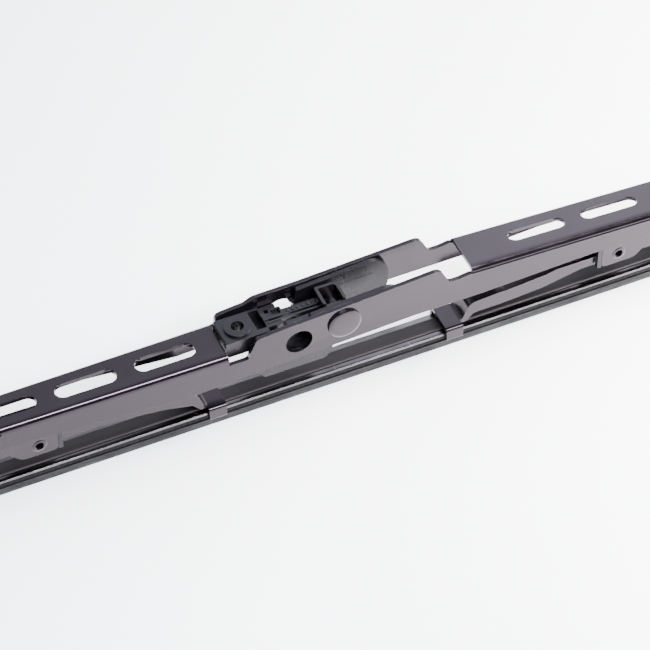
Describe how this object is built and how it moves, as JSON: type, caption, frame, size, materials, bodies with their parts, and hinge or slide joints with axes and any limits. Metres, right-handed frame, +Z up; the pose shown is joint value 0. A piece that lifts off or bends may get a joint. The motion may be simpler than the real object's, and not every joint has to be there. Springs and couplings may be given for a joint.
{
  "type": "windscreen wiper blade",
  "caption": "Framed wiper blade: slotted steel bridge with tilting hook adapter, rocking secondary bridges and yokes, claws holding a rubber strip with two steel rails.",
  "frame": {"origin": "middle of the wiping edge's underside, at the blade's mid length", "axes": "+X along the blade towards the end with the open part of the hook window, +Y across it, +Z up from the wiping edge to the bridge"},
  "size_m": [0.6046, 0.0158, 0.0383],
  "materials": {
    "painted_steel": "satin",
    "moulded_plastic": "matte",
    "rubber": "matte",
    "rail_steel": "brushed",
    "rivet_steel": "satin"
  },
  "bodies": {
    "bridge": {"primary_bridge": "painted_steel", "centre_rivet": "rivet_steel", "end_rivet_left": "rivet_steel", "end_rivet_right": "rivet_steel", "wiping_rubber": "rubber", "rail_front": "rail_steel", "rail_back": "rail_steel"},
    "adapter": {"adapter": "moulded_plastic"},
    "secondary_left": {"secondary_bridge_left": "painted_steel", "joint_liner_left": "moulded_plastic", "yoke_rivet_left_outer": "rivet_steel", "yoke_rivet_left_inner": "rivet_steel", "yoke_liner_left_outer": "moulded_plastic", "yoke_liner_left_inner": "moulded_plastic"},
    "secondary_right": {"secondary_bridge_right": "painted_steel", "joint_liner_right": "moulded_plastic", "yoke_rivet_right_inner": "rivet_steel", "yoke_rivet_right_outer": "rivet_steel", "yoke_liner_right_inner": "moulded_plastic", "yoke_liner_right_outer": "moulded_plastic"},
    "yoke_left_outer": {"yoke_left_outer": "painted_steel"},
    "yoke_left_inner": {"yoke_left_inner": "painted_steel"},
    "yoke_right_inner": {"yoke_right_inner": "painted_steel"},
    "yoke_right_outer": {"yoke_right_outer": "painted_steel"}
  },
  "joints": [
    {"name": "adapter_tilt", "type": "hinge", "parent": "bridge", "child": "adapter", "pos_m": [0.001, 0, 0.0307], "axis": [0, 1, 0], "range_deg": [-6, 25]},
    {"name": "secondary_left_rock", "type": "hinge", "parent": "bridge", "child": "secondary_left", "pos_m": [-0.16735, 0, 0.0216], "axis": [0, 1, 0], "range_deg": [-3, 3], "stiffness_Nm_per_rad": 2, "deforming": ["wiping_rubber", "rail_front", "rail_back"]},
    {"name": "secondary_right_rock", "type": "hinge", "parent": "bridge", "child": "secondary_right", "pos_m": [0.16735, 0, 0.0216], "axis": [0, 1, 0], "range_deg": [-3, 3], "stiffness_Nm_per_rad": 2, "deforming": ["wiping_rubber", "rail_front", "rail_back"]},
    {"name": "yoke_left_outer_rock", "type": "hinge", "parent": "secondary_left", "child": "yoke_left_outer", "pos_m": [-0.25, 0, 0.0194], "axis": [0, 1, 0], "range_deg": [-4, 4], "stiffness_Nm_per_rad": 0.3, "deforming": ["wiping_rubber", "rail_front", "rail_back"]},
    {"name": "yoke_left_inner_rock", "type": "hinge", "parent": "secondary_left", "child": "yoke_left_inner", "pos_m": [-0.0847, 0, 0.0194], "axis": [0, 1, 0], "range_deg": [-4, 4], "stiffness_Nm_per_rad": 0.3, "deforming": ["wiping_rubber", "rail_front", "rail_back"]},
    {"name": "yoke_right_inner_rock", "type": "hinge", "parent": "secondary_right", "child": "yoke_right_inner", "pos_m": [0.0847, 0, 0.0194], "axis": [0, 1, 0], "range_deg": [-4, 4], "stiffness_Nm_per_rad": 0.3, "deforming": ["wiping_rubber", "rail_front", "rail_back"]},
    {"name": "yoke_right_outer_rock", "type": "hinge", "parent": "secondary_right", "child": "yoke_right_outer", "pos_m": [0.25, 0, 0.0194], "axis": [0, 1, 0], "range_deg": [-4, 4], "stiffness_Nm_per_rad": 0.3, "deforming": ["wiping_rubber", "rail_front", "rail_back"]}
  ]
}
